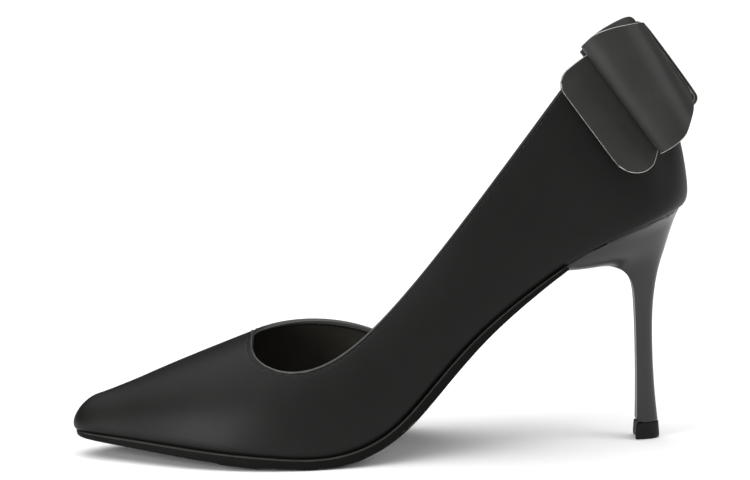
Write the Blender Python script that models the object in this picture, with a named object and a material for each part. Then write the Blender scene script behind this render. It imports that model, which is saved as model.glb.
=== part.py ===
"""Pointed high-heeled pump with one open side and a leather bow behind the heel, as a left shoe.

The shoe stands on its forefoot and heel tip. The toe points to -X, the outer side faces -Y, and +Z is up.
Sizes in the tables are in millimetres, measured from the middle of the heel tip on the floor.
"""

import math
from collections import namedtuple

import bmesh
import bpy
import numpy as np
from mathutils import Vector

MM = 0.001
GAP = 0.3

# The last, one row for each section from toe to heel: feather edge, where upper meets sole, and crown.
# x and rise place the feather edge, outer and inner are its half widths, crown_x and crown_z the crown.
# tuck is how far the wall swells out over its first roll of height, and pitch the slope of the toe's ridge.
Section = namedtuple("Section", "x outer inner rise crown_x crown_z tuck roll pitch")
LAST = [
    Section(-214.6, 0.0, 0.0, 9.0, -206.0, 23.0, 2.7, 4.2, 0.36),
    Section(-210.3, 6.5, 6.0, 9.0, -201.8, 24.3, 2.2, 4.0, 0.36),
    Section(-196.0, 15.0, 13.5, 8.4, -189.0, 29.0, 1.5, 3.8, 0.28),
    Section(-178.0, 25.0, 22.0, 7.4, -176.5, 34.0, 1.5, 4.0, 0.10),
    Section(-158.0, 33.5, 29.0, 5.8, -158.0, 41.0, 1.5, 4.0, 0.0),
    Section(-137.0, 37.3, 32.5, 4.1, -139.0, 48.3, 1.6, 4.0, 0.0),
    Section(-117.0, 36.5, 31.0, 3.9, -121.0, 57.5, 1.7, 4.2, 0.0),
    Section(-97.0, 33.0, 27.0, 11.5, -103.0, 71.0, 1.9, 4.5, 0.0),
    Section(-79.5, 29.0, 23.0, 28.8, -88.0, 90.0, 2.1, 5.0, 0.0),
    Section(-61.5, 25.5, 20.3, 46.7, -74.0, 116.0, 2.3, 5.5, 0.0),
    Section(-43.0, 23.0, 19.3, 60.8, -61.0, 141.0, 2.6, 6.0, 0.0),
    Section(-24.5, 21.8, 20.4, 72.6, -50.0, 163.0, 2.9, 6.5, 0.0),
    Section(-6.0, 20.3, 20.3, 80.8, -41.0, 173.0, 3.3, 6.8, 0.0),
    Section(7.0, 14.0, 14.0, 85.6, -35.0, 169.0, 3.6, 7.0, 0.0),
    Section(13.3, 0.0, 0.0, 87.3, -33.0, 164.0, 3.8, 7.0, 0.0),
]
HEEL_BACK = len(LAST) - 1
WALL = 1.6

# Topline of the outer side: a round throat, then a climb that straightens towards the heel.
THROAT_FRONT_X = -147.1
THROAT_LOW_X = -131.0
THROAT_LOW_Z = 34.5
THROAT_DROP = 8.6
CLIMB_SLOPE = 1.29
CLIMB_ROUND = 34.0
BACK_TOP_Z = 152.5
BACK_TOP_SOFT = 4.0

# Topline of the inner side: the vamp sweeps down to the sole, and the counter starts behind the open waist.
VAMP_SWEEP_X = -134.0
VAMP_SWEEP_Z = 46.5
VAMP_FRONT_DROP = 1.4
VAMP_SWEEP_LENGTH = 59.0
VAMP_SWEEP_DROP = 41.6
COUNTER_EDGE_X = -48.0
COUNTER_EDGE_Z = 75.0
COUNTER_TOP_X = -21.0
COUNTER_TOP_Z = 138.0
OPEN_WAIST_X = -66.0
BLUNT_END = 4.0

# How finely the upper's wall is divided: along the toe, along each topline, and up the wall.
# Columns fan out at the throat.
TOE_STEPS = 12
OUTER_STEPS = 40
VAMP_STEPS = 18
COUNTER_STEPS = 14
THROAT_FAN = 0.5
WALK_STEPS = 160
WALK_GRADING = 3.0
ROLL_ANGLES = (0.0, 30.0, 60.0, 90.0)
WALL_STEPS = 9

# Outsole: its thickness at the sections above, the ledge that it shows round the upper, and its edge.
SOLE_THICKNESS = (1.4, 2.0, 2.7, 3.3, 3.7, 3.9, 3.9, 3.7, 3.6, 3.2, 2.3, 1.4, 1.2, 1.2, 1.2)
SOLE_LEDGE = (-1.9, -0.3, 0.7, 0.9, 0.9, 0.9, 0.9, 0.8, 0.6, 0.3, 0.0, -0.3, -0.5, -0.5, -0.5)
SOLE_BEAD = 0.9
SOLE_BEVEL = 1.0
WAIST_BEVEL = 2.4
WAIST_FROM_X = -104.0
WAIST_FULL_X = -76.0
SOLE_END_X = -32.0
SOLE_STEPS = 44

INSOLE_THICKNESS = 1.8
INSOLE_INSET = 1.4
INSOLE_STEPS = 52

# Heel, one row for each cut from the seat down: its back and front on the middle plane, and half width.
HeelCut = namedtuple("HeelCut", "back_x back_z front_x front_z half_width")
HEEL = [
    HeelCut(12.0, 84.0, -30.6, 66.6, 20.4),
    HeelCut(10.5, 80.0, -24.4, 66.4, 17.2),
    HeelCut(9.0, 75.6, -17.8, 67.0, 13.6),
    HeelCut(7.7, 71.4, -12.7, 66.6, 10.2),
    HeelCut(6.3, 67.4, -9.0, 65.0, 7.8),
    HeelCut(5.3, 64.0, -6.6, 62.4, 6.2),
    HeelCut(4.5, 60.4, -5.1, 59.6, 5.1),
    HeelCut(3.7, 56.0, -4.3, 56.0, 4.5),
    HeelCut(2.9, 49.0, -4.0, 49.0, 4.1),
    HeelCut(2.6, 40.0, -3.8, 40.0, 3.9),
    HeelCut(2.7, 28.0, -3.8, 28.0, 3.9),
    HeelCut(3.3, 16.0, -3.9, 16.0, 4.1),
    HeelCut(4.2, 6.3, -4.2, 6.3, 4.5),
]
HEEL_FRONT_X = -31.4
SEAT_FLUSH = 0.3
HEEL_ROUND_STEPS = 20
BREAST_STEPS = 4
BREAST_HOLLOW = 0.08

# Heel tip: the same kind of rows, from its top to the floor.
HEEL_TIP = [
    HeelCut(4.4, 6.0, -4.5, 6.0, 4.7),
    HeelCut(4.8, 0.8, -5.0, 0.8, 5.1),
    HeelCut(4.5, 0.0, -4.7, 0.0, 4.8),
]

# Bow. Its own frame starts at the middle of the knot's face: out points away from the heel, and down runs
# along the heel's back. Its inner wing droops by this slope.
BOW_CENTRE = (9.8, 0.0, 142.8)
BOW_LEAN = math.radians(35.0)
INNER_DROOP = 0.2
BOW_OUT = (math.cos(BOW_LEAN), 0.0, math.sin(BOW_LEAN))
BOW_DOWN = (math.sin(BOW_LEAN), 0.0, -math.cos(BOW_LEAN))

# One row for each fold of a ribbon, from the middle of the bow to the side: how far across and out it lies,
# its half width there, splay and tilt, the slopes that set its lower edge wider and further out than its
# upper edge, and its drop.
Fold = namedtuple("Fold", "across out half_width splay tilt drop")
LOOP = [
    Fold(0.0, -1.55, 14.0, 0.0, 0.0, 0.0),
    Fold(7.0, -1.55, 14.4, 0.0, 0.0, 0.0),
    Fold(16.5, -2.0, 16.7, 0.02, -0.07, 0.1),
    Fold(25.5, -3.6, 18.1, 0.05, -0.08, -0.3),
    Fold(30.0, -7.2, 20.3, 0.08, -0.05, -0.5),
    Fold(32.4, -12.5, 23.1, 0.10, -0.02, -0.5),
    Fold(32.6, -18.0, 24.2, 0.12, 0.0, -1.0),
    Fold(30.6, -22.4, 23.9, 0.13, 0.0, -0.8),
    Fold(27.4, -23.6, 23.6, 0.13, 0.0, -0.5),
    Fold(24.9, -20.0, 23.6, 0.12, 0.0, -0.8),
    Fold(21.6, -13.0, 22.9, 0.08, 0.0, -1.4),
    Fold(13.6, -4.3, 19.5, 0.02, -0.05, -2.1),
    Fold(7.0, -2.95, 15.2, 0.0, 0.0, -0.6),
    Fold(0.0, -2.9, 14.0, 0.0, 0.0, 0.0),
]
LOOP_THICKNESS = 0.9
LOOP_STEPS = 4
TAIL = [
    Fold(0.0, -4.15, 13.6, 0.0, 0.0, 0.0),
    Fold(7.0, -4.3, 14.2, 0.0, 0.0, 0.0),
    Fold(13.4, -7.0, 16.0, 0.02, 0.0, 0.0),
    Fold(19.4, -12.6, 18.0, 0.07, 0.0, -0.4),
    Fold(23.0, -20.0, 19.3, 0.11, 0.0, -0.6),
    Fold(25.0, -28.0, 22.8, 0.14, 0.0, 2.4),
    Fold(28.2, -38.9, 23.4, 0.16, 0.0, 3.2),
]
TAIL_THICKNESS = 1.0
TAIL_CORNERS = (6.0, 11.0)
TAIL_STEPS = 4
TAIL_CORNER_STEPS = 7
KNOT_FACE = 0.6
KNOT_DROP = 1.2
KNOT_HALF_LENGTH = 18.6
KNOT_HALF_WIDTH = 6.4
KNOT_DEPTH = 7.1
KNOT_THICKNESS = 1.4
KNOT_TURN_STEPS = 6
RIBBON_ACROSS = 5

Finish = namedtuple("Finish", "colour roughness")
LEATHER = Finish((0.030, 0.030, 0.029), 0.55)
LINING = Finish((0.035, 0.033, 0.030), 0.75)
SOLE_RUBBER = Finish((0.022, 0.022, 0.021), 0.60)
HEEL_COVER = Finish((0.045, 0.045, 0.044), 0.40)
TIP_PLASTIC = Finish((0.020, 0.020, 0.019), 0.50)


def closed_spline(values):
    """A periodic cubic spline through the values, which lie one step apart."""
    values = np.array(values, float)
    unit = np.eye(len(values))
    system = 4 * unit + np.roll(unit, 1, axis=1) + np.roll(unit, -1, axis=1)
    bends = np.linalg.solve(system, 6 * (np.roll(values, -1) - 2 * values + np.roll(values, 1)))

    def at(step):
        first = math.floor(step)
        part = step - first
        a, b = first % len(values), (first + 1) % len(values)
        straight = (1 - part) * values[a] + part * values[b]
        return straight - part * (1 - part) / 6 * ((2 - part) * bends[a] + (1 + part) * bends[b])

    return at


def round_the_last(column):
    """A column of the last as a closed curve: from the toe along the outer side and back along the inner."""
    return closed_spline(list(column) + list(column[-2:0:-1]))


def last_column(name):
    return round_the_last([getattr(row, name) for row in LAST])


feather_x, feather_z = last_column("x"), last_column("rise")
feather_y = closed_spline([-row.outer for row in LAST] + [row.inner for row in LAST[-2:0:-1]])
crown_x, crown_z = last_column("crown_x"), last_column("crown_z")
tuck, roll, pitch = last_column("tuck"), last_column("roll"), last_column("pitch")
sole_thickness, sole_ledge = round_the_last(SOLE_THICKNESS), round_the_last(SOLE_LEDGE)


def feather(station):
    """A point of the feather edge. Station 0 is the toe, the outer side is positive, the inner negative."""
    return Vector((feather_x(station), feather_y(station), feather_z(station)))


def outward(station):
    """The level direction that points away from the shoe at the feather edge."""
    step = 0.01
    along = feather(station + step) - feather(station - step)
    return Vector((-along.y, along.x, 0)).normalized() * -1


def sole_normal(station):
    """The upward direction square to the sole, which the feather edges of both sides share."""
    here = min(max(abs(station), 0.2), HEEL_BACK - 0.2)
    step = 0.05
    run = feather_x(here + step) - feather_x(here - step)
    climb = feather_z(here + step) - feather_z(here - step)
    return Vector((-climb, 0, run)).normalized()


def station_at(x):
    """The outer station whose feather edge lies at this x."""
    low, high = 0.0, float(HEEL_BACK)
    for _ in range(40):
        middle = (low + high) / 2
        low, high = (middle, high) if feather_x(middle) < x else (low, middle)
    return low


def wall_point(station, share):
    """A point of the upper's outer face: share 0 at the feather edge, 1 at the crown of the last."""
    foot = feather(station)
    run = Vector((crown_x(station) - foot.x, -foot.y, 0))
    lean = pitch(station) * run.x
    inward = 1 - math.cos(share * math.pi / 2)
    height = lean * inward + (crown_z(station) - foot.z - lean) * math.sin(share * math.pi / 2)
    rolled = 1 - min(height / roll(station), 1)
    swell = tuck(station) * math.sqrt(max(0, 1 - rolled**2)) * (1 - inward)
    return foot + run * inward + outward(station) * swell + Vector((0, 0, height))


def outer_topline(x):
    """Height of the topline on the outer side, from its throat back."""
    if x < THROAT_LOW_X:
        reach = min(1, (THROAT_LOW_X - x) / (THROAT_LOW_X - THROAT_FRONT_X))
        return THROAT_LOW_Z + THROAT_DROP * (1 - math.sqrt(1 - reach**2))
    climb = CLIMB_SLOPE * CLIMB_ROUND * math.log(math.cosh((x - THROAT_LOW_X) / CLIMB_ROUND))
    spare = (BACK_TOP_Z - THROAT_LOW_Z - climb) / BACK_TOP_SOFT
    return BACK_TOP_Z - BACK_TOP_SOFT * math.log1p(math.exp(spare))


def vamp_topline(x):
    """Height of the vamp's edge on the inner side, which falls to the sole like a quarter ellipse."""
    if x < VAMP_SWEEP_X:
        ahead = (VAMP_SWEEP_X - x) / (VAMP_SWEEP_X - THROAT_FRONT_X)
        return VAMP_SWEEP_Z - VAMP_FRONT_DROP * ahead**2
    reach = min(1, (x - VAMP_SWEEP_X) / VAMP_SWEEP_LENGTH)
    return VAMP_SWEEP_Z - VAMP_SWEEP_DROP * (1 - math.sqrt(1 - reach**2))


def counter_edge(z):
    """How far forward the counter reaches on the inner side at a height."""
    reach = max(0, z - COUNTER_EDGE_Z) / (COUNTER_TOP_Z - COUNTER_EDGE_Z)
    return COUNTER_EDGE_X + (COUNTER_TOP_X - COUNTER_EDGE_X) * reach**2


def in_upper(station, point):
    """Whether a point of the last's surface is covered by the upper."""
    if 0 < station < HEEL_BACK:
        return point.x < THROAT_FRONT_X or point.z < outer_topline(point.x)
    if point.x < OPEN_WAIST_X:
        return point.z < vamp_topline(point.x)
    return point.z < outer_topline(point.x) and point.x > counter_edge(point.z)


def topline_share(station):
    """Share of the wall from the feather edge that the upper covers at a station."""
    steps = 80
    for step in range(1, steps + 1):
        if not in_upper(station, wall_point(station, step / steps)):
            low, high = (step - 1) / steps, step / steps
            for _ in range(24):
                middle = (low + high) / 2
                covered = in_upper(station, wall_point(station, middle))
                low, high = (middle, high) if covered else (low, middle)
            return low
    return 1.0


def wall_height(station):
    return wall_point(station, topline_share(station)).z - feather_z(station)


def blunt_station(covered, bare):
    """Where the wall ends at the open waist: the station between these two with the blunt end's height."""
    for _ in range(30):
        middle = (covered + bare) / 2
        covered, bare = (middle, bare) if wall_height(middle) > BLUNT_END else (covered, middle)
    return covered


def throat_station():
    """The station whose crown lies at the front of the throat."""
    low, high = 0.0, float(HEEL_BACK)
    for _ in range(40):
        middle = (low + high) / 2
        low, high = (middle, high) if crown_x(middle) < THROAT_FRONT_X else (low, middle)
    return low


def topline_walk(start, end):
    """Points along a topline between two stations: each a station, its share of the wall, the way so far."""
    walk = []
    for step in range(WALK_STEPS + 1):
        station = start + (end - start) * (step / WALK_STEPS) ** WALK_GRADING
        share = topline_share(station) if step else 1.0
        point = wall_point(station, share)
        way = walk[-1][2] + (point - walk[-1][3]).length if walk else 0.0
        walk.append((station, share, way, point))
    return walk


def columns_between(walk, foot_start, foot_end, steps):
    """Columns of the wall: each a station of the feather edge, and a station and share of the topline."""
    stations, shares, ways, _ = zip(*walk)
    made = []
    for step in range(1, steps + 1):
        way = ways[-1] * step / steps
        foot = foot_start + (foot_end - foot_start) * step / steps
        made.append((foot, float(np.interp(way, ways, stations)), float(np.interp(way, ways, shares))))
    return made


def upper_columns():
    """All columns, from the vamp's inner end round toe, outer side and heel to the counter's inner end."""
    throat = throat_station()
    fan = throat - THROAT_FAN
    waist = station_at(OPEN_WAIST_X)
    vamp_end = blunt_station(-throat - 1, -waist)
    counter_end = blunt_station(HEEL_BACK + 0.5, 2 * HEEL_BACK - waist)
    vamp = columns_between(topline_walk(-throat, vamp_end), -fan, vamp_end, VAMP_STEPS)
    toe = []
    for step in range(-TOE_STEPS, TOE_STEPS + 1):
        toe.append((fan * step / TOE_STEPS, throat * step / TOE_STEPS, 1.0))
    outer = columns_between(topline_walk(throat, HEEL_BACK), fan, HEEL_BACK, OUTER_STEPS)
    counter = []
    for step in range(1, COUNTER_STEPS + 1):
        station = HEEL_BACK + (counter_end - HEEL_BACK) * step / COUNTER_STEPS
        counter.append((station, station, topline_share(station)))
    return vamp[::-1] + toe + outer + counter


def column_points(foot, head, top):
    """Points up one column: close together where the wall rolls out of the feather edge, then even."""
    rise = crown_z(foot) - feather_z(foot) - pitch(foot) * (crown_x(foot) - feather_x(foot))
    rolled = [math.asin(min(1, roll(foot) * (1 - math.cos(math.radians(a))) / rise)) for a in ROLL_ANGLES]
    squeeze = min(1, top / 2 / (rolled[-1] * 2 / math.pi))
    low = [share * 2 / math.pi * squeeze for share in rolled]
    shares = low + [low[-1] + (top - low[-1]) * step / WALL_STEPS for step in range(1, WALL_STEPS + 1)]
    return [wall_point(foot + (head - foot) * share / top, share) for share in shares]


def material(name, finish):
    made = bpy.data.materials.new(name)
    made.use_nodes = True
    shader = made.node_tree.nodes["Principled BSDF"]
    shader.inputs["Base Color"].default_value = (*finish.colour, 1)
    shader.inputs["Roughness"].default_value = finish.roughness
    shader.inputs["Metallic"].default_value = 0
    return made


def solid(name, rows, finish, ring=False, capped=False):
    """An object skinned over rows of points. Ring closes the rows to loops, and capped fills the end rows."""
    mesh = bmesh.new()
    grid = [[mesh.verts.new(Vector(point) * MM) for point in row] for row in rows]
    for above, below in zip(grid, grid[1:]):
        for i in range(len(above) - (0 if ring else 1)):
            j = (i + 1) % len(above)
            mesh.faces.new((above[i], above[j], below[j], below[i]))
    if capped:
        mesh.faces.new(grid[0])
        mesh.faces.new(grid[-1])
    return finished(name, mesh, finish)


def finished(name, mesh, finish):
    """A bmesh made into an object: doubled points merged, faces turned outwards, round parts smooth."""
    bmesh.ops.remove_doubles(mesh, verts=mesh.verts, dist=1e-6)
    bmesh.ops.dissolve_degenerate(mesh, edges=mesh.edges, dist=1e-7)
    bmesh.ops.recalc_face_normals(mesh, faces=mesh.faces)
    data = bpy.data.meshes.new(name)
    mesh.to_mesh(data)
    mesh.free()
    data.shade_smooth()
    data.set_sharp_from_angle(angle=math.radians(40))
    data.materials.append(material(name, finish))
    made = bpy.data.objects.new(name, data)
    bpy.context.scene.collection.objects.link(made)
    return made


def make_upper():
    """Vamp, outer quarter and counter: one hollow wall, open at throat, collar, inner waist and below."""
    columns = [column_points(*column) for column in upper_columns()]
    made = solid("upper", columns, LEATHER)
    wall = made.modifiers.new("wall", "SOLIDIFY")
    wall.thickness = WALL * MM
    wall.offset = -1
    wall.use_even_offset = True
    return made


def sole_bottom(station, depth):
    """Where the outsole's underside lies below a feather point, flat where it treads on the floor."""
    point = feather(station) - sole_normal(station) * depth
    return Vector((point.x, point.y, max(0, point.z)))


def make_outsole():
    """Outsole from toe to heel breast: beaded round the forefoot, thinner and rounder along the waist."""
    end = station_at(SOLE_END_X)
    rows = []
    for step in range(SOLE_STEPS + 1):
        near = end * step / SOLE_STEPS
        waist = min(1, max(0, (feather_x(near) - WAIST_FROM_X) / (WAIST_FULL_X - WAIST_FROM_X)))
        bevel = SOLE_BEVEL + (WAIST_BEVEL - SOLE_BEVEL) * waist * waist * (3 - 2 * waist)
        half = []
        for station in (near, -near):
            reach = tuck(station) + sole_ledge(station)
            thick = sole_thickness(station)
            side = outward(station)
            half.append([
                feather(station) - sole_normal(station) * GAP + side * reach,
                sole_bottom(station, GAP + min(SOLE_BEAD, thick / 3)) + side * reach,
                sole_bottom(station, GAP + thick - SOLE_BEVEL * thick / 4) + side * (reach - bevel / 4),
                sole_bottom(station, GAP + thick) + side * (reach - bevel),
            ])
        rows.append(half[0] + half[1][::-1])
    return solid("outsole", rows, SOLE_RUBBER, ring=True, capped=True)


def make_insole():
    """Insole board with its sock, inside the feather edge from toe to heel."""
    rows = []
    for step in range(INSOLE_STEPS + 1):
        near = HEEL_BACK * step / INSOLE_STEPS
        half = []
        for station in (near, -near):
            inset = feather(station) - outward(station) * INSOLE_INSET
            half.append([inset, inset + sole_normal(station) * INSOLE_THICKNESS])
        rows.append(half[0] + half[1][::-1])
    return solid("insole", rows, LINING, ring=True)


def heel_row(round_points):
    """A cut of the heel: its round back, then its breast, hollowed a little between the two corners."""
    first, last = round_points[0], round_points[-1]
    breast = []
    for step in range(1, BREAST_STEPS):
        share = step / BREAST_STEPS
        hollow = (last - first).length * BREAST_HOLLOW * 4 * share * (1 - share)
        breast.append(last + (first - last) * share + Vector((hollow, 0, 0)))
    return round_points + breast


def heel_cut(cut):
    """A D shape through the cut's back and front points, round behind and flat at the breast."""
    points = []
    for step in range(HEEL_ROUND_STEPS + 1):
        angle = math.pi * (step / HEEL_ROUND_STEPS - 0.5)
        reach = math.cos(angle) ** 0.85
        points.append(Vector((
            cut.front_x + (cut.back_x - cut.front_x) * reach,
            cut.half_width * math.sin(angle),
            cut.front_z + (cut.back_z - cut.front_z) * reach,
        )))
    return heel_row(points)


def seat_row():
    """The heel's top edge, which follows the feather edge round the seat."""
    front = station_at(HEEL_FRONT_X)
    points = []
    for step in range(HEEL_ROUND_STEPS + 1):
        station = front + 2 * (HEEL_BACK - front) * step / HEEL_ROUND_STEPS
        level = sole_normal(station if station < HEEL_BACK else 2 * HEEL_BACK - station) * GAP
        points.append(feather(station) - level + outward(station) * SEAT_FLUSH)
    return heel_row(points)


def make_heel():
    return solid("heel", [seat_row()] + [heel_cut(cut) for cut in HEEL], HEEL_COVER, ring=True, capped=True)


def make_heel_tip():
    return solid("heel_tip", [heel_cut(cut) for cut in HEEL_TIP], TIP_PLASTIC, ring=True, capped=True)


def through_folds(folds, steps):
    """Folds in between the given ones, on a smooth curve through them."""
    table = np.array(folds, float)
    ends = [2 * table[0] - table[1], *table, 2 * table[-1] - table[-2]]
    made = []
    for before, here, after, beyond in zip(ends, ends[1:], ends[2:], ends[3:]):
        for step in range(steps):
            t = step / steps
            slope = after - before
            bend = 2 * before - 5 * here + 4 * after - beyond
            twist = 3 * (here - after) + beyond - before
            made.append(Fold(*(here + t / 2 * (slope + t * (bend + t * twist)))))
    return made + [folds[-1]]


def mirrored(folds):
    return [fold._replace(across=-fold.across, splay=-fold.splay) for fold in folds]


def bow_point(fold, down, lift, normal):
    """A point of a ribbon: this far down from its middle line, lifted off it by half the leather."""
    across = fold.across + fold.splay * down + normal[0] * lift
    out = fold.out + fold.tilt * down + normal[1] * lift
    along = down + fold.drop + INNER_DROOP * max(0, -fold.across)
    return Vector(BOW_CENTRE) + Vector(BOW_OUT) * out + Vector(BOW_DOWN) * along + Vector((0, -across, 0))


def ribbon_rows(folds, thickness, closed):
    """Cross rows of a ribbon of leather that follows the folds: along one face, and back along the other."""
    count = len(folds)
    rows = []
    for i, fold in enumerate(folds):
        before = folds[i - 1] if closed or i else fold
        after = folds[(i + 1) % count] if closed or i + 1 < count else fold
        along = Vector((after.across - before.across, after.out - before.out)).normalized()
        normal = (-along.y, along.x)
        downs = [fold.half_width * (2 * k / RIBBON_ACROSS - 1) for k in range(RIBBON_ACROSS + 1)]
        near = [bow_point(fold, down, thickness / 2, normal) for down in downs]
        far = [bow_point(fold, down, -thickness / 2, normal) for down in reversed(downs)]
        rows.append(near + far)
    return rows


def make_bow_loops():
    """Both loops: one closed band of leather, pressed flat in the middle where the knot goes round it."""
    outer_side = through_folds(LOOP, LOOP_STEPS)
    inner_side = mirrored(outer_side)[::-1]
    rows = ribbon_rows(outer_side[:-1] + inner_side[:-1], LOOP_THICKNESS, closed=True)
    return solid("bow_loops", rows + rows[:1], LEATHER, ring=True)


def make_bow_tails():
    """The band under the loops, wrapped round the counter, with upper and lower corners rounded."""
    table = np.array(through_folds(TAIL, TAIL_STEPS))
    spans = np.hypot(*np.diff(table[:, :2], axis=0).T)
    ways = np.concatenate([[0], np.cumsum(spans)])
    corner_start = ways[-1] - max(TAIL_CORNERS)
    turn = np.sin(np.linspace(0, math.pi / 2, TAIL_CORNER_STEPS + 1))
    rounded = []
    for at in [*ways[ways < corner_start], *(corner_start + max(TAIL_CORNERS) * turn)]:
        fold = Fold(*[float(np.interp(at, ways, column)) for column in table.T])
        past = [min(1, max(0, at - ways[-1] + corner) / corner) for corner in TAIL_CORNERS]
        upper, lower = [corner * (1 - math.sqrt(1 - p**2)) for corner, p in zip(TAIL_CORNERS, past)]
        narrow = fold.half_width - (upper + lower) / 2
        rounded.append(fold._replace(half_width=narrow, drop=fold.drop + (upper - lower) / 2))
    rows = ribbon_rows(mirrored(rounded)[:0:-1] + rounded, TAIL_THICKNESS, closed=False)
    return solid("bow_tails", rows, LEATHER, ring=True, capped=True)


def make_bow_knot():
    """The knot: a narrow band round the middle of loops and tails."""
    middle = KNOT_FACE - KNOT_DEPTH / 2
    turn = KNOT_DEPTH / 2 - KNOT_THICKNESS / 2
    straight = KNOT_HALF_LENGTH - KNOT_DEPTH / 2
    path = []
    for end in (1, -1):
        for step in range(KNOT_TURN_STEPS + 1):
            angle = math.pi * (step / KNOT_TURN_STEPS - 0.5)
            path.append((end * (straight + turn * math.cos(angle)), end * -math.sin(angle)))
    rows = []
    for down, face in path:
        ring = []
        for side, layer in ((-1, 0.5), (1, 0.5), (1, -0.5), (-1, -0.5)):
            spread = (abs(down) - straight) / turn if abs(down) > straight else 0
            out = middle + face * (turn + layer * KNOT_THICKNESS)
            along = math.copysign(straight + spread * (turn + layer * KNOT_THICKNESS), down)
            point = Vector(BOW_CENTRE) + Vector(BOW_OUT) * out + Vector(BOW_DOWN) * (along + KNOT_DROP)
            ring.append(point + Vector((0, side * KNOT_HALF_WIDTH, 0)))
        rows.append(ring)
    return solid("bow_knot", rows + rows[:1], LEATHER, ring=True)


def stand_on_origin(objects):
    """Puts the origin on the floor, under the middle of the whole shoe."""
    corners = np.array([vertex.co for made in objects for vertex in made.data.vertices])
    low, high = corners.min(axis=0), corners.max(axis=0)
    shift = Vector((-(low[0] + high[0]) / 2, -(low[1] + high[1]) / 2, -low[2]))
    for made in objects:
        for vertex in made.data.vertices:
            vertex.co += shift


def main():
    for old in list(bpy.data.objects):
        bpy.data.objects.remove(old)
    shoe = [
        make_upper(),
        make_insole(),
        make_outsole(),
        make_heel(),
        make_heel_tip(),
        make_bow_tails(),
        make_bow_loops(),
        make_bow_knot(),
    ]
    stand_on_origin(shoe)


main()
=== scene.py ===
"""Looks of the high heel: finishes, lining, stitches and bow leather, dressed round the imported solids."""

import math
from collections import namedtuple

import bmesh
import bpy
import numpy as np
from mathutils import Matrix, Vector
from mathutils.kdtree import KDTree


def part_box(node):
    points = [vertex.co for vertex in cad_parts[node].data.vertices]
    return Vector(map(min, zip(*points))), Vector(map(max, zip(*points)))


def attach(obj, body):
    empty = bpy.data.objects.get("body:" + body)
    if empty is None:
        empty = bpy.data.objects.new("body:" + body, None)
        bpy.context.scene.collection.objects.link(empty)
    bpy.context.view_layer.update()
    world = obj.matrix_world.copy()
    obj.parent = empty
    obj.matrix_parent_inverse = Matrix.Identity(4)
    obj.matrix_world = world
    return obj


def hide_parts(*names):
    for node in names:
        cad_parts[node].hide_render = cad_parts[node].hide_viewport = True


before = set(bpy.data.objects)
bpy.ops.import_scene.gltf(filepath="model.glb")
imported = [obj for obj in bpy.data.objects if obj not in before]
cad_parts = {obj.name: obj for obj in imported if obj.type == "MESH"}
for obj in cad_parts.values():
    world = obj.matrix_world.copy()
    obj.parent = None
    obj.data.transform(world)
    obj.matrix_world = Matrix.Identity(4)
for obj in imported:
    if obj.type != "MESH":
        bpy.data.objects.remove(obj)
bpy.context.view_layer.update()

MM = 0.001

# Camera: where the photograph was taken from, in metres from the middle of the heel tip's base,
# then its angles and lens.
CAMERA_FROM_TIP = Vector((-0.0849, -0.840, 0.194))
CAMERA_TURN = math.radians(1.03)
CAMERA_PITCH = math.radians(7.87)
CAMERA_ROLL = math.radians(-1.9)
CAMERA_LENS = 109.0
CAMERA_SENSOR = 36.0

# Upper: its finishes by number, the round of its folded edge, the stitch line below it, and the thread.
LEATHER, LINING, FOLD, FEATHER = range(4)
EDGE_ROUND = 0.36 * MM
TURNED_IN = 2.6 * MM
# Height above which the folded edge's painted highlight fades to a darker tone.
THROAT_TOP = 48 * MM
FOLD_RISE = 0.15
STITCH_DEPTH = 1.8 * MM
STITCH_PITCH = 2.7 * MM
STITCH_LENGTH = 2.1 * MM
THREAD = 0.42 * MM
HOLE_RADIUS = 0.42 * MM
FAR_AWAY = 0.05

# Soft troughs in the outer side's leather: ends as x and z, then depth and half width, in millimetres.
Crease = namedtuple("Crease", "x0 z0 x1 z1 depth width")
CREASES = [
    Crease(-112.0, 11.4, -100.0, 10.6, 0.16, 1.3),
    Crease(-98.0, 10.4, -86.0, 9.6, 0.10, 1.2),
    Crease(-38.0, 24.0, -22.0, 15.0, 0.10, 5.0),
    Crease(-4.0, 40.0, 8.0, 26.0, 0.12, 5.0),
]

# Bow: the round along both corners of its cut edges.
RIBBON_ROUND = 0.2 * MM

# How far the heel's and the sole's tops are set into the upper, and the sole's end into the heel.
# The facings are the least x or z of the normals of the faces that are slid.
END_FACING = 0.6
WELT_FACING = 0.6
SEAT_FACING = 0.25
WELT_LIFT = 0.5 * MM
SEAT_LIFT = 0.7 * MM
SEAT_DRAW_IN = (0.985, 0.985, 1)
SOLE_REACH = (1.6 * MM, 0, 1.2 * MM)
# Faces of the sole that face up more than this get the painted highlight.
PAINTED_HIGHLIGHT_RISE = 0.45
SOCK_SPREAD = 0.5 * MM

# Angles: edges sharper than these are held or rounded, and triangles are paired within the last one.
SHARP = math.radians(50)
RIBBON_SHARP = math.radians(60)
QUAD_LIMIT = math.radians(60)

# Light: three broad suns by name, with direction, strength and angle in degrees, and a panel by the toe.
WORLD_STRENGTH = 0.08
SUNS = [
    ("front", (0.0, 1.0, -0.25), 0.3, 42),
    ("right", (-0.85, 0.38, -0.5), 1.3, 42),
    ("above", (0.1, 0.0, -1.0), 3.3, 90),
]
PANEL_PLACE = (-0.32, -0.27, 0.1)
PANEL_TOWARDS = (0.22, 0.26, -0.07)
PANEL_SIZE = 0.22
PANEL_POWER = 1.2

FLOOR_SIZE = 24.0
FLOOR_DROP = 0.2 * MM


def linear(colour):
    """A linear colour from an sRGB hex value."""
    parts = [int(colour[i : i + 2], 16) / 255 for i in (1, 3, 5)]
    parts = [p / 12.92 if p <= 0.04045 else ((p + 0.055) / 1.055) ** 2.4 for p in parts]
    return (*parts, 1.0)


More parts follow.
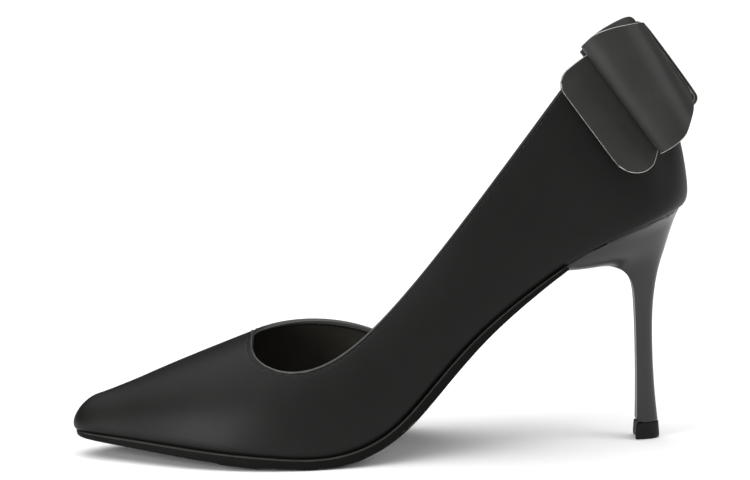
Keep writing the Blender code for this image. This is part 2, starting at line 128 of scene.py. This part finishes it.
def add(tree, kind, inputs=None, **settings):
    """Adds a shader node: settings are its own, inputs are values or sockets to link, by name or number."""
    made = tree.nodes.new("ShaderNode" + kind)
    for name, value in settings.items():
        setattr(made, name, value)
    for name, value in (inputs or {}).items():
        if isinstance(value, bpy.types.NodeSocket):
            tree.links.new(value, made.inputs[name])
        else:
            made.inputs[name].default_value = value
    return made


def new_material(name, **sockets):
    """A material with its Principled shader's plain values set, and what its patterns need."""
    made = bpy.data.materials.new(name)
    made.use_nodes = True
    tree = made.node_tree
    shader = tree.nodes["Principled BSDF"]
    for socket, value in sockets.items():
        shader.inputs[socket.replace("_", " ")].default_value = value
    place = add(tree, "TexCoord").outputs["Object"]
    return made, tree, shader, place


def grain(tree, place, cell, depth, strength):
    """Bump of fine leather pores: rounded cells of this size with shallow valleys between them."""
    cells = add(tree, "TexVoronoi", {"Vector": place, "Scale": 1 / cell}, feature="SMOOTH_F1")
    fine = add(tree, "TexNoise", {"Vector": place, "Scale": 2 / cell, "Detail": 3.0})
    both = add(tree, "Math", {0: cells.outputs["Distance"], 1: fine.outputs["Fac"]}, operation="ADD")
    return add(tree, "Bump", {"Strength": strength, "Distance": depth, "Height": both.outputs["Value"]})


def mottled(tree, place, patch, low, high):
    """A colour that drifts between two tones over patches of this size."""
    cloud = add(tree, "TexNoise", {"Vector": place, "Scale": 1 / patch, "Detail": 4.0, "Roughness": 0.6})
    ramp = add(tree, "ValToRGB", {"Fac": cloud.outputs["Fac"]})
    ramp.color_ramp.elements[0].position = 0.3
    ramp.color_ramp.elements[1].position = 0.7
    ramp.color_ramp.elements[0].color = linear(low)
    ramp.color_ramp.elements[1].color = linear(high)
    return ramp.outputs["Color"]


def stitched_leather():
    """Smooth calf leather, dyed black with a matt finish: fine pores, and needle holes along the folded edge.
    The pores are drawn about twice as coarse as real ones, so that they show."""
    made, tree, shader, place = new_material("matt_calf_leather", Roughness=0.46, IOR=1.26)
    base = mottled(tree, place, 14 * MM, "#0b0b0a", "#0f0f0e")
    # Needle holes: round dips at even steps along the stitch line, also coloured in the darkest tone as
    # painted shade inside them.
    along = add(tree, "Attribute", attribute_name="along_edge").outputs["Fac"]
    away = add(tree, "Attribute", attribute_name="from_edge").outputs["Fac"]
    step = add(tree, "Math", {0: along, 1: STITCH_PITCH / 2}, operation="PINGPONG").outputs["Value"]
    down = add(tree, "Math", {0: away, 1: STITCH_DEPTH}, operation="SUBTRACT").outputs["Value"]
    flat = add(tree, "CombineXYZ", {"X": step, "Y": down})
    reach = add(tree, "VectorMath", {0: flat.outputs["Vector"]}, operation="LENGTH").outputs["Value"]
    hole = add(tree, "MapRange", {0: reach, 1: HOLE_RADIUS, 2: HOLE_RADIUS / 3}, clamp=True).outputs["Result"]
    # The seam draws the leather in along the stitch line.
    near = add(tree, "Math", {0: down}, operation="ABSOLUTE").outputs["Value"]
    pull = add(tree, "MapRange", {0: near, 1: 1.1 * MM, 2: 0.0}, interpolation_type="SMOOTHSTEP")
    dip = add(tree, "Math", {0: pull.outputs["Result"], 1: hole}, operation="ADD").outputs["Value"]
    dip = add(tree, "Math", {0: 0.0, 1: dip}, operation="SUBTRACT").outputs["Value"]
    # Painted shade: the needle holes are mixed to the darkest tone of the leather.
    dark = add(tree, "Mix", {"Factor": hole, "A": base, "B": linear("#0b0b0a")}, data_type="RGBA")
    tree.links.new(dark.outputs[2], shader.inputs["Base Color"])
    pores = grain(tree, place, 0.8 * MM, 0.03 * MM, 0.25)
    seam = add(tree, "Bump", {"Strength": 0.7, "Distance": 0.12 * MM, "Height": dip})
    tree.links.new(pores.outputs["Normal"], seam.inputs["Normal"])
    tree.links.new(seam.outputs["Normal"], shader.inputs["Normal"])
    return made


def bow_leather():
    """Calf leather of the bow: the same matt finish without a seam, given a lighter tone than the upper's as
    painted light on the bow.
    """
    made, tree, shader, place = new_material("bow_calf_leather", Roughness=0.42, IOR=1.26)
    # Painted light: this copy of the calf leather is toned lighter than the upper's, standing in for the
    # light on the bow.
    tree.links.new(mottled(tree, place, 14 * MM, "#282827", "#2f2f2e"), shader.inputs["Base Color"])
    pores = grain(tree, place, 0.8 * MM, 0.03 * MM, 0.25)
    tree.links.new(pores.outputs["Normal"], shader.inputs["Normal"])
    return made


def folded_edge():
    """The same calf leather over the fold of the topline: smoother, and painted grey as a painted highlight
    along the fold, fullest round the throat.
    """
    made, tree, shader, place = new_material("folded_calf_edge", Roughness=0.4, IOR=1.5)
    # Painted highlight: the fold's grey tone fades to a darker one above the throat.
    grey = mottled(tree, place, 3 * MM, "#2a2a28", "#343432")
    height = add(tree, "SeparateXYZ", {0: place}).outputs["Z"]
    above = add(tree, "MapRange", {0: height, 1: THROAT_TOP, 2: 1.5 * THROAT_TOP}).outputs["Result"]
    toned = add(tree, "Mix", {"Factor": above, "A": grey, "B": linear("#1a1a19")}, data_type="RGBA")
    tree.links.new(toned.outputs[2], shader.inputs["Base Color"])
    pores = grain(tree, place, 0.8 * MM, 0.02 * MM, 0.2)
    tree.links.new(pores.outputs["Normal"], shader.inputs["Normal"])
    return made


def cut_edge():
    """Raw cut edge of leather: pale grey fibres, dull and a little rough."""
    made, tree, shader, place = new_material("cut_leather_edge", Roughness=0.8, IOR=1.45)
    tree.links.new(mottled(tree, place, 1.2 * MM, "#989690", "#b8b6b0"), shader.inputs["Base Color"])
    fibres = grain(tree, place, 0.35 * MM, 0.05 * MM, 0.5)
    tree.links.new(fibres.outputs["Normal"], shader.inputs["Normal"])
    return made


def lining_leather():
    """Pigskin lining, dyed dark and unpolished: warm dull tone, wide shallow pores.
    Along the topline the upper's leather is turned in over it, a band painted lighter as a painted highlight,
    which ends in a dark painted shadow line."""
    made, tree, shader, place = new_material("pigskin_lining", Roughness=0.7, IOR=1.4)
    base = mottled(tree, place, 9 * MM, "#36352f", "#403e38")
    away = add(tree, "Attribute", attribute_name="from_edge").outputs["Fac"]
    # Painted highlight: the turned-in band is coloured much lighter than the black leather it is made of.
    turned = add(tree, "MapRange", {0: away, 1: TURNED_IN, 2: TURNED_IN - 0.2 * MM}).outputs["Result"]
    toned = add(tree, "Mix", {"Factor": turned, "A": base, "B": linear("#5c5c59")}, data_type="RGBA")
    # Painted shadow: a dark line where the turned-in band ends.
    step = add(tree, "Math", {0: away, 1: TURNED_IN}, operation="SUBTRACT").outputs["Value"]
    step = add(tree, "Math", {0: step}, operation="ABSOLUTE").outputs["Value"]
    line = add(tree, "MapRange", {0: step, 1: 0.5 * MM, 2: 0.15 * MM}).outputs["Result"]
    toned = toned.outputs[2]
    lined = add(tree, "Mix", {"Factor": line, "A": toned, "B": linear("#0c0c0b")}, data_type="RGBA")
    tree.links.new(lined.outputs[2], shader.inputs["Base Color"])
    pores = grain(tree, place, 1.3 * MM, 0.05 * MM, 0.4)
    edge = add(tree, "Bump", {"Strength": 0.8, "Distance": 0.3 * MM, "Height": turned})
    tree.links.new(pores.outputs["Normal"], edge.inputs["Normal"])
    tree.links.new(edge.outputs["Normal"], shader.inputs["Normal"])
    return made


def sock_leather():
    """Sheepskin sock over the insole: dyed dark, dull and soft."""
    made, tree, shader, place = new_material("sheepskin_sock", Roughness=0.75, IOR=1.4)
    tree.links.new(mottled(tree, place, 9 * MM, "#35322d", "#3e3a34"), shader.inputs["Base Color"])
    pores = grain(tree, place, 1.1 * MM, 0.05 * MM, 0.4)
    tree.links.new(pores.outputs["Normal"], shader.inputs["Normal"])
    return made


def sole_rubber(name, low, high):
    """Moulded rubber sole: dull black with the fine grit of its mould; a lighter copy is the painted
    highlight on the sole's upward-facing rim.
    """
    made, tree, shader, place = new_material(name, Roughness=0.5, IOR=1.15)
    tree.links.new(mottled(tree, place, 6 * MM, low, high), shader.inputs["Base Color"])
    grit = grain(tree, place, 0.5 * MM, 0.04 * MM, 0.35)
    tree.links.new(grit.outputs["Normal"], shader.inputs["Normal"])
    return made


def heel_lacquer():
    """Sprayed satin lacquer on a plastic heel: an even dark tone, soft reflections, slight orange peel."""
    made, tree, shader, place = new_material("satin_lacquer", Roughness=0.28, IOR=1.47)
    tree.links.new(mottled(tree, place, 20 * MM, "#191918", "#1f1f1e"), shader.inputs["Base Color"])
    peel = add(tree, "TexNoise", {"Vector": place, "Scale": 1 / (1.6 * MM), "Detail": 1.0})
    bump = add(tree, "Bump", {"Strength": 0.15, "Distance": 0.02 * MM, "Height": peel.outputs["Fac"]})
    tree.links.new(bump.outputs["Normal"], shader.inputs["Normal"])
    return made


def tip_plastic():
    """Injection-moulded polyurethane heel tip: dull and slightly rough."""
    made, tree, shader, place = new_material("moulded_polyurethane", Roughness=0.5, IOR=1.27)
    tree.links.new(mottled(tree, place, 4 * MM, "#0b0b0a", "#100f0e"), shader.inputs["Base Color"])
    grit = grain(tree, place, 0.4 * MM, 0.03 * MM, 0.3)
    tree.links.new(grit.outputs["Normal"], shader.inputs["Normal"])
    return made


def bonded_thread():
    """Bonded polyester thread: black, with the slight sheen of its filaments."""
    made, tree, shader, place = new_material("polyester_thread", Roughness=0.45, IOR=1.35)
    tree.links.new(mottled(tree, place, 3 * MM, "#101010", "#161615"), shader.inputs["Base Color"])
    twist = add(tree, "TexWave", {"Vector": place, "Scale": 1 / (0.4 * MM)})
    bump = add(tree, "Bump", {"Strength": 0.3, "Distance": 0.03 * MM, "Height": twist.outputs["Fac"]})
    tree.links.new(bump.outputs["Normal"], shader.inputs["Normal"])
    return made


def floor_paper():
    """White background paper: dull, with a very faint tooth."""
    made, tree, shader, place = new_material("background_paper", Roughness=0.9, IOR=1.3)
    tree.links.new(mottled(tree, place, 0.4, "#f6f6f6", "#f8f8f8"), shader.inputs["Base Color"])
    return made


def select_only(piece):
    bpy.ops.object.select_all(action="DESELECT")
    bpy.context.view_layer.objects.active = piece
    piece.select_set(True)


def copy_of(node, name):
    """A new piece from a solid: its loose triangles merged, and paired to quads again."""
    piece = bpy.data.objects.new(name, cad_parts[node].data.copy())
    piece.data.materials.clear()
    bpy.context.scene.collection.objects.link(piece)
    select_only(piece)
    bpy.ops.object.mode_set(mode="EDIT")
    bpy.ops.mesh.select_all(action="SELECT")
    bpy.ops.mesh.remove_doubles(threshold=0.002 * MM)
    bpy.ops.mesh.tris_convert_to_quads(face_threshold=QUAD_LIMIT, shape_threshold=QUAD_LIMIT)
    bpy.ops.object.mode_set(mode="OBJECT")
    bpy.ops.mesh.customdata_custom_splitnormals_clear()
    return piece


def zones_of(piece, sharpness):
    """The piece's faces, grouped where no sharp edge divides them: areas and face numbers, largest first."""
    mesh = bmesh.new()
    mesh.from_mesh(piece.data)
    left = set(mesh.faces)
    found = []
    while left:
        heap = [left.pop()]
        zone = []
        while heap:
            face = heap.pop()
            zone.append(face)
            for edge in face.edges:
                for other in edge.link_faces:
                    if other in left and edge.calc_face_angle(0) < sharpness:
                        left.discard(other)
                        heap.append(other)
        found.append((sum(face.calc_area() for face in zone), [face.index for face in zone]))
    mesh.free()
    return sorted(found, key=lambda entry: -entry[0])


def select_edges(piece, wanted):
    """Goes into edit mode with just those edges selected that the test picks."""
    select_only(piece)
    bpy.ops.object.mode_set(mode="EDIT")
    bpy.ops.mesh.select_mode(type="EDGE")
    bpy.ops.mesh.select_all(action="DESELECT")
    mesh = bmesh.from_edit_mesh(piece.data)
    for edge in mesh.edges:
        edge.select_set(len(edge.link_faces) == 2 and wanted(edge))
    mesh.select_flush_mode()
    bmesh.update_edit_mesh(piece.data)


def between(first, second):
    """A test for the edges where faces of two finishes meet."""
    return lambda edge: {face.material_index for face in edge.link_faces} == {first, second}


def sharper_than(angle):
    return lambda edge: edge.calc_face_angle(0) > angle


def round_edges(piece, wanted, width, finish):
    """Rounds the edges that the test picks, and gives the round that finish."""
    select_edges(piece, wanted)
    bpy.ops.mesh.bevel(offset=width, segments=2, profile=0.5, affect="EDGES", material=finish)
    bpy.ops.object.mode_set(mode="OBJECT")


def hold_edges(piece, wanted, crease):
    """Holds the edges that the test picks against the smoothing."""
    select_edges(piece, wanted)
    bpy.ops.transform.edge_crease(value=crease)
    bpy.ops.object.mode_set(mode="OBJECT")


def subdivide(piece, levels):
    """Smooths the piece with a subdivision surface, applied."""
    select_only(piece)
    smooth = piece.modifiers.new("smooth", "SUBSURF")
    smooth.levels = levels
    smooth.render_levels = levels
    bpy.ops.object.modifier_apply(modifier=smooth.name)
    bpy.ops.object.shade_smooth_by_angle(angle=SHARP)


def points_of(piece):
    points = np.empty(len(piece.data.vertices) * 3)
    piece.data.vertices.foreach_get("co", points)
    return points.reshape(-1, 3)


def topline_of(piece):
    """The upper's folded edge in order: points, each with the way down from the edge across the leather."""
    mesh = bmesh.new()
    mesh.from_mesh(piece.data)
    ways = {}
    across = {}
    for edge in mesh.edges:
        sides = {face.material_index: face for face in edge.link_faces}
        if set(sides) == {LEATHER, FOLD}:
            a, b = edge.verts
            ways.setdefault(a.index, []).append(b.index)
            ways.setdefault(b.index, []).append(a.index)
            for vertex in edge.verts:
                across[vertex.index] = across.get(vertex.index, Vector()) - sides[FOLD].normal
    longest = []
    for start in [index for index, others in ways.items() if len(others) == 1]:
        order = [start]
        while on := [index for index in ways[order[-1]] if index not in order[-2:]]:
            order.append(on[0])
        longest = max(longest, order, key=len)
    mesh.verts.ensure_lookup_table()
    line = [(mesh.verts[index].co.copy(), across[index].normalized()) for index in longest]
    mesh.free()
    return line


def resampled(line, step):
    """Points at even steps along a line of points, and how far along they lie."""
    places = np.array([point for point, _ in line])
    gaps = np.linalg.norm(np.diff(places, axis=0), axis=1)
    ways = np.concatenate([[0], np.cumsum(gaps)])
    at = np.arange(step / 2, ways[-1], step)
    smooth = np.stack([np.interp(at, ways, places[:, axis]) for axis in range(3)], axis=1)
    downs = np.array([down for _, down in line])
    downs = np.stack([np.interp(at, ways, downs[:, axis]) for axis in range(3)], axis=1)
    return smooth, downs, at


def mark_edge_distance(piece, line):
    """Stores, for every point of the upper, how far it lies from the folded edge and how far along it."""
    places, _, at = resampled(line, 0.25 * MM)
    tree = KDTree(len(places))
    for index, place in enumerate(places):
        tree.insert(place, index)
    tree.balance()
    away = np.full(len(piece.data.vertices), FAR_AWAY, np.float32)
    along = np.zeros(len(piece.data.vertices), np.float32)
    for vertex in piece.data.vertices:
        _, index, distance = tree.find(vertex.co)
        along[vertex.index] = at[index]
        away[vertex.index] = min(distance, FAR_AWAY)
    for name, values in (("from_edge", away), ("along_edge", along)):
        piece.data.attributes.new(name, "FLOAT", "POINT").data.foreach_set("value", values)


def press_creases(piece):
    """Presses the soft troughs into the outer side's leather."""
    points = points_of(piece)
    normals = np.empty(len(points) * 3)
    piece.data.vertices.foreach_get("normal", normals)
    normals = normals.reshape(-1, 3)
    for crease in CREASES:
        a = np.array((crease.x0, crease.z0)) * MM
        b = np.array((crease.x1, crease.z1)) * MM
        flat = points[:, [0, 2]] - a
        share = np.clip(flat @ (b - a) / ((b - a) @ (b - a)), 0, 1)
        reach = np.linalg.norm(flat - share[:, None] * (b - a), axis=1) / (crease.width * MM)
        fade = np.sin(np.pi * np.clip(share, 0.02, 0.98)) ** 0.5
        press = crease.depth * MM * np.exp(-(reach**2)) * fade * (points[:, 1] < 0)
        points -= normals * press[:, None]
    piece.data.vertices.foreach_set("co", points.astype(np.float32).ravel())
    piece.data.update()


def give(piece, *materials):
    for material in materials:
        piece.data.materials.append(material)


def seat(piece, node):
    """The piece rides with the shoe and stands for its solid, which is hidden."""
    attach(piece, "root")
    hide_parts(node)


def dress_upper(leather, lining, fold):
    """The upper: leather outside, lining inside, a folded edge all round the top, and soft creases."""
    piece = copy_of("upper", "upper_leather")
    give(piece, leather, lining, fold, leather)
    zones = zones_of(piece, SHARP)
    for polygon in piece.data.polygons:
        polygon.material_index = FOLD if polygon.normal.z > FOLD_RISE else FEATHER
    for finish, (_, faces) in zip((LEATHER, LINING), zones):
        for index in faces:
            piece.data.polygons[index].material_index = finish
    line = topline_of(piece)
    hold_edges(piece, between(LEATHER, FEATHER), 1.0)
    hold_edges(piece, between(LINING, FEATHER), 1.0)
    round_edges(piece, between(LEATHER, FOLD), EDGE_ROUND, FOLD)
    round_edges(piece, between(LINING, FOLD), EDGE_ROUND, LINING)
    subdivide(piece, 2)
    press_creases(piece)
    mark_edge_distance(piece, line)
    seat(piece, "upper")
    return piece, line


def one_stitch():
    """One stitch: a short thread, thickest in the middle, whose ends dip into the leather."""
    bpy.ops.object.select_all(action="DESELECT")
    bpy.ops.mesh.primitive_uv_sphere_add(segments=8, ring_count=6, radius=THREAD / 2)
    stitch = bpy.context.object
    bpy.ops.object.mode_set(mode="EDIT")
    bpy.ops.mesh.select_all(action="SELECT")
    bpy.ops.transform.resize(value=(1, 1, STITCH_LENGTH / THREAD))
    bpy.ops.object.mode_set(mode="OBJECT")
    for vertex in stitch.data.vertices:
        share = vertex.co.z / (STITCH_LENGTH / 2)
        vertex.co.x -= 0.5 * THREAD * share**2
    return stitch


def sew(name, upper, line, thread, inside):
    """A row of stitches below the folded edge, outside or inside."""
    places, downs, _ = resampled(line, STITCH_PITCH)
    pattern = one_stitch()
    row = []
    for index in range(1, len(places) - 1):
        below = Vector(places[index]) + Vector(downs[index]).normalized() * STITCH_DEPTH
        _, place, normal, _ = upper.closest_point_on_mesh(below)
        if inside:
            found, place, normal, _ = upper.ray_cast(place - normal * 0.3 * MM, -normal, distance=5 * MM)
            if not found:
                continue
        ahead = Vector(places[index + 1] - places[index - 1])
        ahead = (ahead - normal * ahead.dot(normal)).normalized()
        turn = Matrix((normal, ahead.cross(normal), ahead)).transposed().to_4x4()
        copy = bpy.data.objects.new("stitch", pattern.data.copy())
        copy.data.transform(Matrix.Translation(place + normal * THREAD * 0.2) @ turn)
        bpy.context.scene.collection.objects.link(copy)
        row.append(copy)
    bpy.data.objects.remove(pattern)
    select_only(row[0])
    for copy in row:
        copy.select_set(True)
    bpy.ops.object.join()
    stitches = bpy.context.object
    stitches.name = name
    bpy.ops.object.shade_smooth()
    give(stitches, thread)
    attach(stitches, "root")


def dress_ribbon(node, name, leather, edge, levels, dyed):
    """A ribbon of the bow: leather on both faces, pale along the corners of its cut edges, and between
    them dyed or pale."""
    piece = copy_of(node, name)
    give(piece, leather, edge)
    if not dyed:
        for _, faces in zones_of(piece, RIBBON_SHARP)[2:]:
            for index in faces:
                piece.data.polygons[index].material_index = 1
    hold_edges(piece, sharper_than(RIBBON_SHARP), 1.0)
    subdivide(piece, levels)
    round_edges(piece, sharper_than(RIBBON_SHARP), RIBBON_ROUND, 1)
    bpy.ops.object.shade_smooth()
    seat(piece, node)


def dress_solid(node, name, material, crease, levels):
    """A firm piece: its faces smoothed, its sharp edges held and just rounded."""
    piece = copy_of(node, name)
    give(piece, material)
    hold_edges(piece, sharper_than(SHARP), crease)
    subdivide(piece, levels)
    seat(piece, node)
    return piece


def slide(piece, wanted, way, draw_in=(1, 1, 1)):
    """Slides and narrows the faces that the test picks, so that the piece reaches into its neighbour."""
    select_only(piece)
    bpy.ops.object.mode_set(mode="EDIT")
    bpy.ops.mesh.select_mode(type="FACE")
    bpy.ops.mesh.select_all(action="DESELECT")
    mesh = bmesh.from_edit_mesh(piece.data)
    for face in mesh.faces:
        face.select_set(wanted(face))
    bmesh.update_edit_mesh(piece.data)
    bpy.ops.transform.translate(value=way)
    bpy.ops.transform.resize(value=draw_in)
    bpy.ops.object.mode_set(mode="OBJECT")


def spread(piece, width):
    """Fattens the piece by this width, so that it meets the walls round it."""
    select_only(piece)
    bpy.ops.object.mode_set(mode="EDIT")
    bpy.ops.mesh.select_all(action="SELECT")
    bpy.ops.transform.shrink_fatten(value=width)
    bpy.ops.object.mode_set(mode="OBJECT")


def make_floor():
    bpy.ops.object.select_all(action="DESELECT")
    bpy.ops.mesh.primitive_plane_add(size=FLOOR_SIZE, location=(0, 0, -FLOOR_DROP))
    floor = bpy.context.object
    floor.name = "floor"
    give(floor, floor_paper())


def hang_light(name, lamp, towards, place=(0, 0, 0)):
    """Puts a lamp at a place, shining along a direction."""
    light = bpy.data.objects.new(name, lamp)
    light.location = place
    light.rotation_euler = Vector(towards).to_track_quat("-Z", "Y").to_euler()
    bpy.context.scene.collection.objects.link(light)
    return light


def make_light():
    world = bpy.data.worlds.new("studio")
    world.use_nodes = True
    sky = world.node_tree.nodes["Background"]
    sky.inputs["Color"].default_value = (1, 1, 1, 1)
    sky.inputs["Strength"].default_value = WORLD_STRENGTH
    bpy.context.scene.world = world
    for name, towards, strength, angle in SUNS:
        sun = bpy.data.lights.new(name, "SUN")
        sun.energy = strength
        sun.angle = math.radians(angle)
        hang_light(name, sun, towards)
    panel = bpy.data.lights.new("panel_by_the_toe", "AREA")
    panel.size = PANEL_SIZE
    panel.energy = PANEL_POWER
    hang_light("panel_by_the_toe", panel, PANEL_TOWARDS, PANEL_PLACE).visible_camera = False


def make_camera():
    lens = bpy.data.cameras.new("camera")
    lens.sensor_fit = "HORIZONTAL"
    lens.sensor_width = CAMERA_SENSOR
    lens.lens = CAMERA_LENS
    camera = bpy.data.objects.new("camera", lens)
    turn = Matrix.Rotation(CAMERA_TURN, 4, "Z")
    pitch = Matrix.Rotation(math.pi / 2 - CAMERA_PITCH, 4, "X")
    roll = Matrix.Rotation(CAMERA_ROLL, 4, "Z")
    low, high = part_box("heel_tip")
    under_tip = Vector(((low[0] + high[0]) / 2, (low[1] + high[1]) / 2, 0))
    camera.matrix_world = Matrix.Translation(under_tip + CAMERA_FROM_TIP) @ turn @ pitch @ roll
    bpy.context.scene.collection.objects.link(camera)
    bpy.context.scene.camera = camera
    bpy.context.scene.view_settings.view_transform = "Standard"


make_camera()
make_light()
make_floor()

upper, topline = dress_upper(stitched_leather(), lining_leather(), folded_edge())
thread = bonded_thread()
sew("topline_stitches", upper, topline, thread, inside=False)
sew("lining_stitches", upper, topline, thread, inside=True)
sock = dress_solid("insole", "sock", sock_leather(), crease=0.4, levels=2)
spread(sock, SOCK_SPREAD)
rubber = sole_rubber("moulded_rubber", "#090908", "#0d0d0c")
sole = dress_solid("outsole", "sole", rubber, crease=0.45, levels=3)
slide(sole, lambda face: face.normal.x > END_FACING, SOLE_REACH)
slide(sole, lambda face: face.normal.z > WELT_FACING, (0, 0, WELT_LIFT))
# Painted highlight: the sole's upward-facing faces take a lighter copy of the rubber.
give(sole, sole_rubber("rubber_rim_painted_highlight", "#343432", "#403f3d"))
for polygon in sole.data.polygons:
    polygon.material_index = int(polygon.normal.z > PAINTED_HIGHLIGHT_RISE)
heel = dress_solid("heel", "heel_covered", heel_lacquer(), crease=0.5, levels=3)
slide(heel, lambda face: face.normal.z > SEAT_FACING, (0, 0, SEAT_LIFT), SEAT_DRAW_IN)
dress_solid("heel_tip", "heel_top_piece", tip_plastic(), crease=0.45, levels=3)
bow = bow_leather()
edge = cut_edge()
dress_ribbon("bow_tails", "bow_tail_band", bow, edge, levels=2, dyed=True)
dress_ribbon("bow_loops", "bow_loop_band", bow, edge, levels=2, dyed=False)
dress_ribbon("bow_knot", "bow_knot_band", bow, edge, levels=2, dyed=True)
